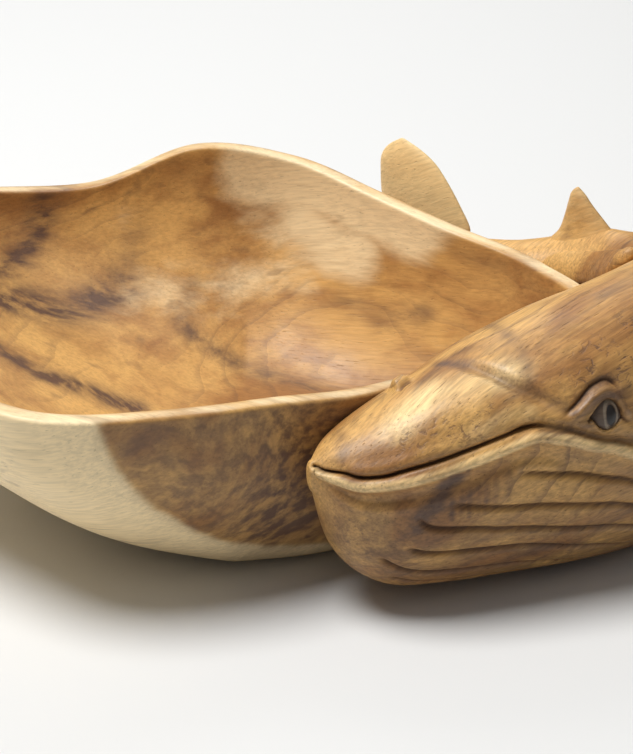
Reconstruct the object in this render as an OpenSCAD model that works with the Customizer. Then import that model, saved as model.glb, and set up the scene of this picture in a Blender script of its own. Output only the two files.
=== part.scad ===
// Free-form wooden bowl with a humpback whale curled round its right-hand end.
// Millimetres, +Z up. The origin is on the table, where the bowl's outline is drawn from.
// +X runs along the bowl towards the whale's back, -Y is the side of the whale's head.

/* [Bowl] */
// Length of the bowl over its rim
bowl_length = 400; // [333:1:480]
// Width of the bowl over its rim
bowl_width = 310; // [255:1:375]
// Height of the lowest stretch of the rim
rim_height = 98; // [80:1:120]
// Rise of the highest wave of the rim above the lowest stretch
rim_wave = 37; // [20:1:48]
// Thickness of the wall, square to the rim
wall = 10; // [7:0.5:13]
// Thickness of the floor over the foot
floor_thick = 14; // [9:0.5:18]
// Length of the flat foot
foot_length = 150; // [120:1:180]
// Width of the flat foot
foot_width = 142; // [115:1:172]
// Distance of the foot's centre from the origin, towards the whale's back
foot_shift = 14; // [0:1:20]

/* [Whale] */
// Greatest width of the trunk
trunk_width = 104; // [85:1:126]
// Height of the back at its highest place
back_height = 136; // [113:1:164]
// Glue line between the whale's flank and the bowl's outer wall
glue_line = 0.5; // [0.3:0.1:1]

/* [Dorsal fin] */
// Length of the dorsal fin along the back
dorsal_length = 50; // [41:1:60]
// Height of the dorsal fin above the back
dorsal_height = 26; // [20:1:34]
// Thickness of the dorsal fin at its root
dorsal_thick = 15; // [11:0.5:19]
// Depth of the mortise that the dorsal fin is let into
mortise_depth = 12; // [9:0.5:16]

/* [Fluke] */
// Span of the fluke from one lobe tip to the other
fluke_span = 130; // [106:1:150]
// Length of the fluke along the tail
fluke_length = 53; // [44:1:66]
// Thickness of the fluke where it meets the tail
fluke_thick = 18; // [14:0.5:22]

/* [Flippers] */
// Greatest width of a flipper
flipper_width = 26; // [20:1:32]
// Greatest thickness of a flipper
flipper_thick = 9; // [7:0.5:12]

/* [Eye] */
// Diameter of the eye inlay
eye_diameter = 17; // [13:0.5:21]
// Depth of the eye's socket
eye_depth = 9; // [7:0.5:12]
// Height of the eye's dome above its edge
eye_dome = 2.5; // [1.5:0.1:4]
// Width of the slot-shaped pupil
pupil_width = 5; // [3.5:0.1:6]
// Height of the slot-shaped pupil
pupil_height = 10; // [7:0.1:12]

/* [Dowels] */
// Diameter of the dowels between the whale and the bowl
body_dowel_d = 10; // [8:0.5:12]
// Length of the dowels between the whale and the bowl
body_dowel_length = 40; // [32:1:50]
// Depth of those dowels in the bowl's wall
wall_socket = 6.5; // [5:0.1:8]
// Diameter of the dowels in the fins
fin_dowel_d = 6; // [5:0.5:8]
// Length of the dowels in the fins
fin_dowel_length = 26; // [22:1:32]
// Gap all round a dowel or an inlay in its hole
fit_gap = 0.05; // [0.02:0.01:0.15]

/* [Hidden] */
$fn = 48;

// Rim seen from above, every 20 degrees from +X: [radius, share of the wave's rise]
RIM = [
    [184, 0.03], [170, 0.15], [151, 0.32], [149, 0.55], [159, 0.85], [163, 1.00],
    [177, 0.45], [213, 0.48], [221, 0.72], [213, 0.75], [198, 0.60], [180, 0.45],
    [172, 0.36], [144, 0.30], [123, 0.20], [118, 0.08], [120, 0.00], [138, 0.00]
];
RIM_STEP = 360 / len(RIM);
BOWL_STEP = 5;                  // degrees between the corners of the bowl's rings
OUTER_RINGS = 11;
INNER_RINGS = 9;
LEFT_SLACK = 1.1;               // how much straighter the wall slopes at the left end
FLOOR_INSET = 9;                // floor's edge inside the foot's edge
CUT = 2;                        // stock that is sawn off below the table plane
TURN = 2;                       // small turn round the bowl or the whale's body, for directions
RISE_STEP = 0.05;               // small step up the bowl's wall, for directions

// Whale from the snout to the tail's end: [x, y, half width, top, middle, bottom]
WHALE = [
    [38, -131, 4, 82, 76, 66], [48, -127, 18, 90, 71, 33], [68, -118, 30, 100, 70, 13],
    [96, -105, 37, 112, 74, 7], [124, -90, 43, 123, 80, 4], [155, -73, 48, 131, 80, 1],
    [192, -48, 51, 136, 72, -1], [222, -14, 52, 136, 68, -2], [231, 28, 47, 127, 68, -1],
    [214, 66, 36, 115, 70, 14], [184, 92, 25, 105, 74, 38], [150, 106, 17, 96, 78, 56],
    [122, 122, 11, 92, 79, 66]
];
WHALE_LAST = len(WHALE) - 1;
RINGS_PER_PIECE = 4;
BODY_SIDES = 28;
SCRIBE_SLOPE = 1.5;             // level distance that gives the glue line square to the wall
ROUNDNESS = 0.9;                // 1 is an ellipse, less is squarer
STATION_BACK = 7;               // station of the highest place on the back
STATION_EYE = 4.88;
EYE_ANGLE = 17;
STATION_DORSAL = 9.85;
STATION_STEP = 0.05;            // short step along the whale, for directions

FLUKE_TAPER = 0.7;              // share of its thickness that the fluke loses by its tips
// Half of the fluke, from its middle to the tip: [share of half span, front edge, back edge],
// the edges as shares of the fluke's length behind the tail's end
FLUKE = [
    [0.00, 0.00, 0.80], [0.18, 0.00, 0.86], [0.30, -0.06, 0.92], [0.46, 0.04, 0.98],
    [0.64, 0.18, 1.00], [0.80, 0.33, 1.00], [0.93, 0.49, 0.96], [1.00, 0.66, 0.84]
];
DORSAL_TAPER = 0.75;            // share of its thickness that the dorsal fin loses by its tip
// Dorsal fin from root to tip: [share of height, front end, back end], as shares of its length
DORSAL = [
    [0.00, -0.50, 0.50], [0.22, -0.34, 0.39], [0.48, -0.16, 0.34], [0.74, 0.02, 0.30],
    [0.92, 0.12, 0.27], [1.00, 0.17, 0.23]
];
// Flippers from root to tip: [station, angle on the body, share of width, share of thickness]
FLIPPER_LEFT = [
    [6.6, -4, 0.50, 0.8], [6.9, -8, 0.80, 1.0], [7.4, -13, 1.00, 1.0], [7.9, -18, 0.95, 0.9],
    [8.4, -22, 0.80, 0.8], [8.8, -25, 0.55, 0.7], [9.0, -27, 0.20, 0.4]
];
FLIPPER_RIGHT = [
    [7.8, 128, 0.50, 0.8], [8.1, 131, 0.70, 1.0], [8.6, 135, 0.80, 1.0], [9.2, 139, 0.75, 0.9],
    [9.8, 142, 0.65, 0.8], [10.25, 144, 0.48, 0.7], [10.45, 145, 0.20, 0.4]
];
FIN_SIDES = 16;
SKIN_GAP = 0.9;                 // glue under a flipper, over the facets of the skin
FLIPPER_DOWEL_KNOT = 2;         // knot of a flipper's path that its dowel goes through
FLIPPER_DOWEL_STOP = 0.6;       // where that dowel ends, as a share of the flipper's thickness
PUPIL_GLUE = 0.1;               // glue under the pupil
BODY_DOWELS = [-38, -8, 24];    // directions of the dowels round the bowl
BODY_DOWEL_RISE = 0.45;         // their height, as a share of the rim's height there

WOOD_GOLD = "#b98448";
WOOD_BROWN = "#a06e3a";
WOOD_CREAM = "#d9b884";
WOOD_DARK = "#2c1c12";

// ---------- curves ----------

// Smooth curve through four neighbouring points, between the middle two
function between(p0, p1, p2, p3, t) =
    (2 * p1 + (p2 - p0) * t + (2 * p0 - 5 * p1 + 4 * p2 - p3) * t * t
    + (3 * p1 - p0 - 3 * p2 + p3) * t * t * t) / 2;
function unit(v) = v / norm(v);
function signed_power(v, p) = sign(v) * pow(abs(v), p);
function clamp(v, low, high) = max(low, min(high, v));

// ---------- bowl ----------

function rim_knot(i) = RIM[(i + len(RIM)) % len(RIM)];
function rim_drawn(a) = let (u = (a + 720) % 360 / RIM_STEP, i = floor(u))
    between(rim_knot(i - 1), rim_knot(i), rim_knot(i + 1), rim_knot(i + 2), u - i);
DRAWN_X = [for (a = [0:BOWL_STEP:359]) rim_drawn(a)[0] * cos(a)];
DRAWN_Y = [for (a = [0:BOWL_STEP:359]) rim_drawn(a)[0] * sin(a)];
stretch_x = bowl_length / (max(DRAWN_X) - min(DRAWN_X));
stretch_y = bowl_width / (max(DRAWN_Y) - min(DRAWN_Y));

function rim_z(a) = rim_height + rim_wave * rim_drawn(a)[1];
// Foot's radius in a direction, before the bowl is stretched: an ellipse off the origin
function foot_drawn(a) = let (
        fx = foot_length / 2 / stretch_x, fy = foot_width / 2 / stretch_y, shift = foot_shift / stretch_x,
        along_a = pow(cos(a) / fx, 2) + pow(sin(a) / fy, 2), lean = shift * cos(a) / fx / fx)
    (lean + sqrt(lean * lean + along_a * (1 - pow(shift / fx, 2)))) / along_a;
// Share of the way from the foot to the rim, for a share of the height
function flare(a, rise) = let (r = clamp(rise, 0, 1))
    pow(sqrt(1 - (1 - r) * (1 - r)), 1 + LEFT_SLACK * max(0, -cos(a)));
function outer_drawn(a, rise) = foot_drawn(a) + (rim_drawn(a)[0] - foot_drawn(a)) * flare(a, rise);
function on_plan(a, r) = [r * cos(a) * stretch_x, r * sin(a) * stretch_y];
function outer_point(a, rise) = let (p = on_plan(a, outer_drawn(a, rise)))
    [p[0], p[1], rim_z(a) * rise];
// The inside starts one wall inside the rim, square to it, and ends on the floor
function rim_plan(a) = on_plan(a, rim_drawn(a)[0]);
function rim_inside(a) = let (along_rim = unit(rim_plan(a + TURN) - rim_plan(a - TURN)))
    rim_plan(a) + wall * [-along_rim[1], along_rim[0]];
function floor_edge(a) = let (p = on_plan(a, foot_drawn(a))) p * (1 - FLOOR_INSET / norm(p));
function inner_point(a, rise) = let (
        edge = floor_edge(a), p = edge + (rim_inside(a) - edge) * flare(a, rise))
    [p[0], p[1], floor_thick + (rim_z(a) - floor_thick) * rise];
function profile_rise(k, n) = 1 - cos(90 * k / n);

// Closed solid from rings of points, with its first and last rings capped
module loft(rings) {
    n = len(rings[0]);
    last = len(rings) - 1;
    sides = [for (k = [0:last - 1], i = [0:n - 1], half = [0, 1])
        let (a = k * n + i, b = k * n + (i + 1) % n)
        half == 0 ? [a, b + n, b] : [a, a + n, b + n]];
    caps = [[for (i = [0:n - 1]) i], [for (i = [n - 1:-1:0]) last * n + i]];
    polyhedron([for (ring = rings) each ring], concat(sides, caps), convexity = 6);
}

module bowl() {
    angles = [0:BOWL_STEP:359];
    stock = [for (a = angles) let (p = outer_point(a, 0)) [p[0], p[1], -CUT]];
    outside = [for (k = [0:OUTER_RINGS])
        [for (a = angles) outer_point(a, profile_rise(k, OUTER_RINGS))]];
    inside = [for (k = [INNER_RINGS:-1:0])
        [for (a = angles) inner_point(a, profile_rise(k, INNER_RINGS))]];
    color(WOOD_GOLD) difference() {
        loft(concat([stock], outside, inside));
        below_table();
        for (a = BODY_DOWELS) body_dowel(a, fit_gap);
    }
}

// Everything under the table plane is sawn away
module below_table() {
    size = 2 * (bowl_length + bowl_width);
    translate([-size / 2, -size / 2, -size]) cube(size);
}

// ---------- whale ----------

function station(i) = WHALE[clamp(i, 0, WHALE_LAST)];
function whale_at(t) = let (i = clamp(floor(t), 0, WHALE_LAST - 1), s = between(
        station(i - 1), station(i), station(i + 1), station(i + 2), t - i),
        wide = trunk_width / 2 / WHALE[STATION_BACK][2], tall = back_height / WHALE[STATION_BACK][3])
    [s[0] * stretch_x, s[1] * stretch_y, s[2] * wide, s[3] * tall, s[4] * tall, s[5] * tall];
function plan(s) = [s[0], s[1]];
// Direction of travel along the whale, in plan
function heading(t) = let (a = max(t - STATION_STEP, 0), b = min(t + STATION_STEP, WHALE_LAST))
    unit(plan(whale_at(b)) - plan(whale_at(a)));
// Point of the whale's section at an angle: 0 is its outer flank, 90 its back, 180 its inner flank
function section_point(t, a) = let (s = whale_at(t), h = heading(t),
        side = s[2] * signed_power(cos(a), ROUNDNESS),
        up = (sin(a) > 0 ? s[3] - s[4] : s[4] - s[5]) * signed_power(sin(a), ROUNDNESS))
    [s[0] + h[1] * side, s[1] - h[0] * side, s[4] + up];
// The flank is scribed to the bowl: what would lie in it moves out to its outer wall
function scribed(p) = let (
        x = p[0] / stretch_x, y = p[1] / stretch_y, a = atan2(y, x),
        wall_r = outer_drawn(a, p[2] / rim_z(a)) + SCRIBE_SLOPE * glue_line, r = norm([x, y]))
    r < wall_r ? [p[0] * wall_r / r, p[1] * wall_r / r, p[2]] : p;
function skin(t, a) = scribed(section_point(t, a));
function skin_normal(t, a) = unit(cross(
    skin(t + STATION_STEP, a) - skin(t - STATION_STEP, a), skin(t, a + TURN) - skin(t, a - TURN)));

module whale_body() {
    ring_count = WHALE_LAST * RINGS_PER_PIECE;
    rings = [for (k = [0:ring_count]) [for (i = [0:BODY_SIDES - 1])
        skin(k / RINGS_PER_PIECE, -360 * i / BODY_SIDES)]];
    color(WOOD_BROWN) difference() {
        loft(rings);
        below_table();
        for (a = BODY_DOWELS) body_dowel(a, fit_gap);
        dorsal_mortise();
        dorsal_dowel_at(fit_gap);
        fluke_dowel_at(fit_gap);
        flipper_dowel_at(FLIPPER_LEFT, fit_gap);
        flipper_dowel_at(FLIPPER_RIGHT, fit_gap);
        eye_socket();
    }
}

// ---------- dorsal fin ----------

dorsal_place = whale_at(STATION_DORSAL);
dorsal_heading = heading(STATION_DORSAL);
// Lens-shaped outline from front to back, in the fin's own frame
function lens(front, back, thick) = [for (i = [0:FIN_SIDES - 1]) let (a = 360 * i / FIN_SIDES)
    [(front + back) / 2 + (back - front) / 2 * cos(a), thick / 2 * sin(a)]];
module at_dorsal() {
    translate([dorsal_place[0], dorsal_place[1], dorsal_place[3]])
        rotate([0, 0, atan2(dorsal_heading[1], dorsal_heading[0])]) children();
}
module dorsal_fin() {
    root = lens(-dorsal_length / 2, dorsal_length / 2, dorsal_thick);
    tongue = [for (z = [-mortise_depth + 2 * fit_gap, -mortise_depth / 2])
        [for (p = root) [p[0], p[1], z]]];
    blade = [for (d = DORSAL) [for (p = lens(d[1] * dorsal_length, d[2] * dorsal_length,
        dorsal_thick * (1 - DORSAL_TAPER * d[0]))) [p[0], p[1], d[0] * dorsal_height]]];
    color(WOOD_GOLD) difference() {
        at_dorsal() mirror([0, 1, 0]) loft(concat(tongue, blade));
        dorsal_dowel_at(fit_gap);
    }
}
module dorsal_mortise() {
    reach = dorsal_length / 2 + fit_gap;
    at_dorsal() translate([0, 0, -mortise_depth]) linear_extrude(mortise_depth + dorsal_height)
        polygon(lens(-reach, reach, dorsal_thick + 2 * fit_gap));
}

// ---------- fluke ----------

tail_end = whale_at(WHALE_LAST);
tail_heading = heading(WHALE_LAST);
module at_tail() {
    translate([tail_end[0], tail_end[1], tail_end[4]])
        rotate([0, 0, atan2(tail_heading[1], tail_heading[0])]) children();
}
module tail_fluke() {
    half = len(FLUKE) - 1;
    rings = [for (k = [-half:half]) let (f = FLUKE[abs(k)], thick = fluke_thick * (1 - FLUKE_TAPER * f[0]))
        [for (p = lens(f[1] * fluke_length + glue_line, f[2] * fluke_length, thick))
            [p[0], p[1], sign(k) * f[0] * fluke_span / 2]]];
    color(WOOD_CREAM) difference() {
        at_tail() mirror([0, 1, 0]) loft(rings);
        fluke_dowel_at(fit_gap);
    }
}

// ---------- flippers ----------

// Point of a flipper's path, for a position counted in its knots
function path_at(path, t) = let (last = len(path) - 1, i = min(floor(t), last - 1))
    between(path[max(i - 1, 0)], path[i], path[i + 1], path[min(i + 2, last)], t - i);
// A blade that lies on the whale's skin, from its root to its tip
module flipper(path) {
    rings = [for (k = [0:(len(path) - 1) * RINGS_PER_PIECE]) let (
            f = path_at(path, k / RINGS_PER_PIECE),
            n = skin_normal(f[0], f[1]), thick = flipper_thick * f[3], width = flipper_width * f[2],
            c = skin(f[0], f[1]) + n * (thick / 2 + SKIN_GAP),
            across = unit(skin(f[0], f[1] + TURN) - skin(f[0], f[1] - TURN)))
        [for (i = [0:FIN_SIDES - 1]) let (a = 360 * i / FIN_SIDES)
            c + across * width / 2 * cos(a) + n * thick / 2 * sin(a)]];
    color(WOOD_BROWN) difference() {
        loft(rings);
        flipper_dowel_at(path, fit_gap);
    }
}
module flipper_left() flipper(FLIPPER_LEFT);
module flipper_right() flipper(FLIPPER_RIGHT);

// ---------- eye ----------

eye_point = skin(STATION_EYE, EYE_ANGLE);
eye_normal = skin_normal(STATION_EYE, EYE_ANGLE);
// Puts children on a point with their +Z along a direction
module along(point, direction) {
    translate(point)
        rotate([0, acos(direction[2] / norm(direction)), atan2(direction[1], direction[0])]) children();
}
module eye_place() along(eye_point, eye_normal) children();
module eye_socket() {
    eye_place() translate([0, 0, -eye_depth])
        cylinder(h = 2 * eye_depth, d = eye_diameter + 2 * fit_gap);
}
module eye() {
    dome_r = (pow(eye_diameter / 2, 2) + eye_dome * eye_dome) / 2 / eye_dome;
    color(WOOD_GOLD) eye_place() difference() {
        intersection() {
            translate([0, 0, -eye_depth]) cylinder(h = eye_depth + eye_dome, d = eye_diameter);
            translate([0, 0, eye_dome - dome_r]) sphere(r = dome_r, $fn = 96);
        }
        pupil_slot(fit_gap, eye_dome);
    }
}
// Slot-shaped prism that stands upright across the eye
module pupil_slot(gap, top) {
    reach = (pupil_height - pupil_width) / 2;
    translate([0, 0, -pupil_width]) linear_extrude(pupil_width + top) {
        for (s = [-1, 1]) translate([s * reach, 0]) circle(d = pupil_width + 2 * gap);
        square([2 * reach, pupil_width + 2 * gap], center = true);
    }
}
module pupil() {
    color(WOOD_DARK) eye_place() translate([0, 0, PUPIL_GLUE]) pupil_slot(0, eye_dome - PUPIL_GLUE);
}

// ---------- dowels ----------

function wall_point(a) = outer_point(a, BODY_DOWEL_RISE);
function wall_normal(a) = unit(cross(
    outer_point(a + TURN, BODY_DOWEL_RISE) - outer_point(a - TURN, BODY_DOWEL_RISE),
    outer_point(a, BODY_DOWEL_RISE + RISE_STEP) - outer_point(a, BODY_DOWEL_RISE - RISE_STEP)));
module body_dowel(a, gap) {
    n = wall_normal(a);
    along(wall_point(a) - n * (wall_socket + gap), n)
        cylinder(h = body_dowel_length + 2 * gap, d = body_dowel_d + 2 * gap);
}
module body_dowels() color(WOOD_CREAM) for (a = BODY_DOWELS) body_dowel(a, 0);

module dorsal_dowel_at(gap) {
    at_dorsal() translate([0, 0, -mortise_depth / 2 - fin_dowel_length / 2 - gap])
        cylinder(h = fin_dowel_length + 2 * gap, d = fin_dowel_d + 2 * gap);
}
module dorsal_dowel() color(WOOD_CREAM) dorsal_dowel_at(0);

module fluke_dowel_at(gap) {
    at_tail() translate([-fin_dowel_length / 2 - gap, 0, 0]) rotate([0, 90, 0])
        cylinder(h = fin_dowel_length + 2 * gap, d = fin_dowel_d + 2 * gap);
}
module fluke_dowel() color(WOOD_CREAM) fluke_dowel_at(0);

// One dowel holds each flipper, square to the skin
module flipper_dowel_at(path, gap) {
    f = path[FLIPPER_DOWEL_KNOT];
    n = skin_normal(f[0], f[1]);
    out = flipper_thick * f[3] * FLIPPER_DOWEL_STOP;
    along(skin(f[0], f[1]) + n * (out - fin_dowel_length - gap), n)
        cylinder(h = fin_dowel_length + 2 * gap, d = fin_dowel_d + 2 * gap);
}
module flipper_dowels() {
    color(WOOD_CREAM) {
        flipper_dowel_at(FLIPPER_LEFT, 0);
        flipper_dowel_at(FLIPPER_RIGHT, 0);
    }
}

bowl();
whale_body();
dorsal_fin();
tail_fluke();
flipper_left();
flipper_right();
eye();
pupil();
body_dowels();
dorsal_dowel();
fluke_dowel();
flipper_dowels();
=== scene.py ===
"""Looks of a free-form carved wooden bowl with a humpback whale curled round its end."""

import math
from functools import partial

import bmesh
import bpy
import numpy as np
from bpy.props import FloatProperty, FloatVectorProperty, IntProperty, PointerProperty
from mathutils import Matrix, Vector


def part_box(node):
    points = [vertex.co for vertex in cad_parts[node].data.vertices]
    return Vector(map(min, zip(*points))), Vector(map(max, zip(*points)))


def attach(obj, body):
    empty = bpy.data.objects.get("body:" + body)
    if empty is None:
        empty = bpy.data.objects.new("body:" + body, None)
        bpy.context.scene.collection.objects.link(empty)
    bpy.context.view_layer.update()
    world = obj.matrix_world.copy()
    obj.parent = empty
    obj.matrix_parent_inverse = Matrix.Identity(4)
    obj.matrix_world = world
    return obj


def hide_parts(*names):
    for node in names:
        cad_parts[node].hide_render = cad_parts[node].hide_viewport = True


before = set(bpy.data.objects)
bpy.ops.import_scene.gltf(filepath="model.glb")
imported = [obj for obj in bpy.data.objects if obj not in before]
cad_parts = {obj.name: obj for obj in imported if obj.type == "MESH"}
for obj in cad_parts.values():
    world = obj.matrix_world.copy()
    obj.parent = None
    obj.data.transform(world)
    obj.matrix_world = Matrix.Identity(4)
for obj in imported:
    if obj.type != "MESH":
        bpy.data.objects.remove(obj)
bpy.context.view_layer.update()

bl_info = {
    "name": "Carved whale bowl",
    "version": (1, 0, 0),
    "blender": (4, 5, 0),
    "location": "View3D > Sidebar > Whale Bowl",
    "description": "Carves a wooden bowl with a whale curled round its end, and lights it",
    "category": "Add Mesh",
}

BODY = "root"
MM = 0.001                       # the drawing is in millimetres, the scene in metres

# ---------------- drawing of the bowl

# Rim seen from above, every 20 degrees from +X: radius, share of the wave's rise
RIM = [
    (184, 0.03), (170, 0.15), (151, 0.32), (149, 0.55), (159, 0.85), (163, 1.00),
    (177, 0.45), (213, 0.48), (221, 0.72), (213, 0.75), (198, 0.60), (180, 0.45),
    (172, 0.36), (144, 0.30), (123, 0.20), (118, 0.08), (120, 0.00), (138, 0.00),
]
RIM_STEP = 360 / len(RIM)
RIM_HEIGHT = 98
RIM_WAVE = 37
WALL = 10
FLOOR_THICK = 14
FOOT_LENGTH = 150
FOOT_WIDTH = 142
FOOT_SHIFT = 14
FLOOR_INSET = 9
LEFT_SLACK = 1.1
TURN = 2                         # degrees, a small turn for directions

# ---------------- drawing of the whale

# From the snout to the tail's end: x, y, half width, top, middle, bottom
WHALE = [
    (38, -131, 4, 82, 76, 66), (48, -127, 18, 90, 71, 33), (68, -118, 30, 100, 70, 13),
    (96, -105, 37, 112, 74, 7), (124, -90, 43, 123, 80, 4), (155, -73, 48, 131, 80, 1),
    (192, -48, 51, 136, 72, -1), (222, -14, 52, 136, 68, -2), (231, 28, 47, 127, 68, -1),
    (214, 66, 36, 115, 70, 14), (184, 92, 25, 105, 74, 38), (150, 106, 17, 96, 78, 56),
    (122, 122, 11, 92, 79, 66),
]
WHALE_LAST = len(WHALE) - 1
ROUNDNESS = 0.9
SCRIBE_GAP = 0.75                # level distance between the whale's flank and the bowl
STATION_STEP = 0.05
STATION_EYE, EYE_ANGLE = 4.88, 17
STATION_DORSAL = 9.85

# Dorsal fin from root to tip: share of height, front end, back end as shares of its length
DORSAL = [
    (0.00, -0.50, 0.50), (0.22, -0.34, 0.39), (0.48, -0.16, 0.34), (0.74, 0.02, 0.30),
    (0.92, 0.12, 0.27), (1.00, 0.17, 0.23),
]
DORSAL_LENGTH, DORSAL_HEIGHT, DORSAL_THICK, DORSAL_TAPER = 50, 26, 15, 0.75
DORSAL_ROOT_DEPTH = 8

# Half of the fluke from its middle to the tip: share of half span, front edge, back edge
FLUKE = [
    (0.00, 0.00, 0.80), (0.18, 0.00, 0.86), (0.30, -0.06, 0.92), (0.46, 0.04, 0.98),
    (0.64, 0.18, 1.00), (0.80, 0.33, 1.00), (0.93, 0.49, 0.96), (1.00, 0.66, 0.84),
]
FLUKE_SPAN, FLUKE_LENGTH, FLUKE_THICK, FLUKE_TAPER = 130, 53, 18, 0.7

# Flippers from root to tip: station, angle on the body, share of width, share of thickness
FLIPPERS = {
    "flipper_left": [
        (6.6, -4, 0.50, 0.8), (6.9, -8, 0.80, 1.0), (7.4, -13, 1.00, 1.0), (7.9, -18, 0.95, 0.9),
        (8.4, -22, 0.80, 0.8), (8.8, -25, 0.55, 0.7), (9.0, -27, 0.20, 0.4),
    ],
    "flipper_right": [
        (7.8, 128, 0.50, 0.8), (8.1, 131, 0.70, 1.0), (8.6, 135, 0.80, 1.0), (9.2, 139, 0.75, 0.9),
        (9.8, 142, 0.65, 0.8), (10.25, 144, 0.48, 0.7), (10.45, 145, 0.20, 0.4),
    ],
}
FLIPPER_WIDTH, FLIPPER_THICK = 26, 9

# ---------------- carving of the head
# Lines are points on the whale's skin: station, angle round the section

MOUTH_LINE = [
    (0.0, 45), (0.32, 31), (0.84, 29), (1.20, 22), (1.66, 21), (2.04, 23), (2.62, 23), (3.28, 24),
    (3.82, 23), (4.10, 19),
]
MOUTH_CORNER_LINE = [
    (3.50, 24), (3.82, 23), (4.14, 18), (4.54, 10), (4.80, 5), (5.16, 1), (5.6, -4), (6.1, -10),
]
LIP_LINE = [
    (0.0, 24), (0.32, 18), (0.76, 14), (1.18, 10), (1.64, 12), (2.32, 13), (2.84, 14), (3.20, 15),
    (3.54, 15), (3.88, 15), (4.16, 11), (4.44, 7), (4.72, 2), (5.18, -2), (5.6, -8), (6.1, -14),
]
UPPER_LIP_LINE = [(0.9, 36), (1.20, 31), (1.66, 30), (2.04, 31), (2.62, 31), (3.28, 31), (3.7, 30)]
UNDER_LIP_LINE = [
    (0.1, 0), (0.66, 0), (1.18, -2), (1.76, -1), (2.32, 1), (2.9, 3), (3.6, 5), (4.2, 0),
    (4.8, -8), (5.4, -15),
]
CHIN_RIDGE_LINE = [(0.35, -4), (0.66, -5), (1.18, -7), (1.76, -5), (2.20, -3)]
BROW_LINE = [(3.16, 104), (3.34, 92), (3.50, 76), (3.72, 56), (3.94, 44), (4.16, 33), (4.60, 19)]
ROSTRUM_LINE = [(1.9, 50), (2.4, 57), (2.9, 57), (3.3, 48), (3.8, 33)]
PLEATS = [
    [(3.52, -1), (4.00, -4), (4.56, -7), (4.92, -10), (5.22, -12), (5.8, -19), (6.3, -24)],
    [(2.56, -5), (3.10, -10), (3.60, -14), (4.20, -17), (4.80, -20), (5.28, -23), (6.0, -31)],
    [(2.16, -7), (2.42, -15), (3.10, -20), (3.42, -23), (4.02, -27), (4.70, -31), (5.22, -34),
     (5.9, -41)],
    [(2.04, -26), (2.38, -30), (2.76, -32), (3.18, -33), (4.12, -38), (4.82, -44), (5.6, -52)],
    [(1.62, -38), (2.00, -43), (2.60, -47), (3.4, -49), (4.2, -53), (5.0, -59)],
    [(1.9, -55), (2.6, -60), (3.4, -62), (4.4, -67), (5.2, -72)],
]
UPPER_LID_LINE = [
    (4.40, 19), (4.50, 22), (4.66, 27), (4.79, 30), (4.90, 31), (4.98, 28), (5.03, 23), (5.08, 18),
    (5.18, 14),
]
LID_CREASE_LINE = [
    (4.30, 21), (4.42, 25), (4.58, 30), (4.72, 35), (4.84, 37), (4.94, 37), (5.02, 33), (5.08, 27),
]
EYE_SLIT_LINE = [
    (4.60, 16), (4.68, 18), (4.75, 21), (4.83, 24), (4.90, 25), (4.96, 23), (5.00, 19), (5.03, 15),
    (5.12, 12), (5.24, 10),
]
LOWER_LID_LINE = [(4.60, 17), (4.67, 16), (4.71, 14), (4.76, 11), (4.84, 9), (4.91, 10), (5.00, 13)]
FAR_BROW_LINE = [(2.42, 106), (2.58, 108), (2.76, 108)]
FAR_CREASE_LINE = [(2.44, 98), (2.58, 101), (2.74, 101)]
EYE_OPENING = EYE_SLIT_LINE[:8] + LOWER_LID_LINE[:0:-1]

# Each cut or ridge: line, height in millimetres (negative is cut in), half width,
# shares of its length over which its ends fade, how strongly painted shade darkens the cut
CARVING = [
    (MOUTH_LINE, -3.2, 1.0, (0, 0.12), 0.85),
    (MOUTH_CORNER_LINE, -2.4, 2.4, (0.1, 0.3), 0.5),
    (LIP_LINE, 2.3, 2.8, (0, 0.15), 0),
    (UPPER_LIP_LINE, 0.9, 3.0, (0.2, 0.3), 0),
    (UNDER_LIP_LINE, -2.0, 5.0, (0.15, 0.2), 0),
    (CHIN_RIDGE_LINE, 1.2, 2.4, (0.15, 0.15), 0),
    (BROW_LINE, -3.4, 3.8, (0.4, 0.25), 0.35),
    (ROSTRUM_LINE, 2.6, 14.0, (0.3, 0.3), 0),
    (UPPER_LID_LINE, 2.3, 2.0, (0.15, 0.15), 0),
    (LID_CREASE_LINE, -1.8, 1.3, (0.2, 0.2), 0.8),
    (LOWER_LID_LINE, 1.5, 1.2, (0.1, 0.1), 0),
    (FAR_BROW_LINE, 4.2, 4.0, (0.35, 0.35), 0),
    (FAR_CREASE_LINE, -1.2, 1.2, (0.3, 0.3), 0.7),
    (EYE_SLIT_LINE, -1.6, 1.0, (0.1, 0.25), 1.0),
] + [(line, -2.3, 1.4, (0.12, 0.12), 0.8) for line in PLEATS]
# The back rises to the dorsal fin in a soft ridge
BACK_RIDGE = ([(9.2, 90), (9.6, 90), (10.0, 90), (10.6, 90)], 4.0, 9.0, (0.45, 0.45), 0)

# ---------------- figure of the wood, with painted shade and a painted sheen
# Strokes of colour. On the bowl: points in millimetres, radius, strength

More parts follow.
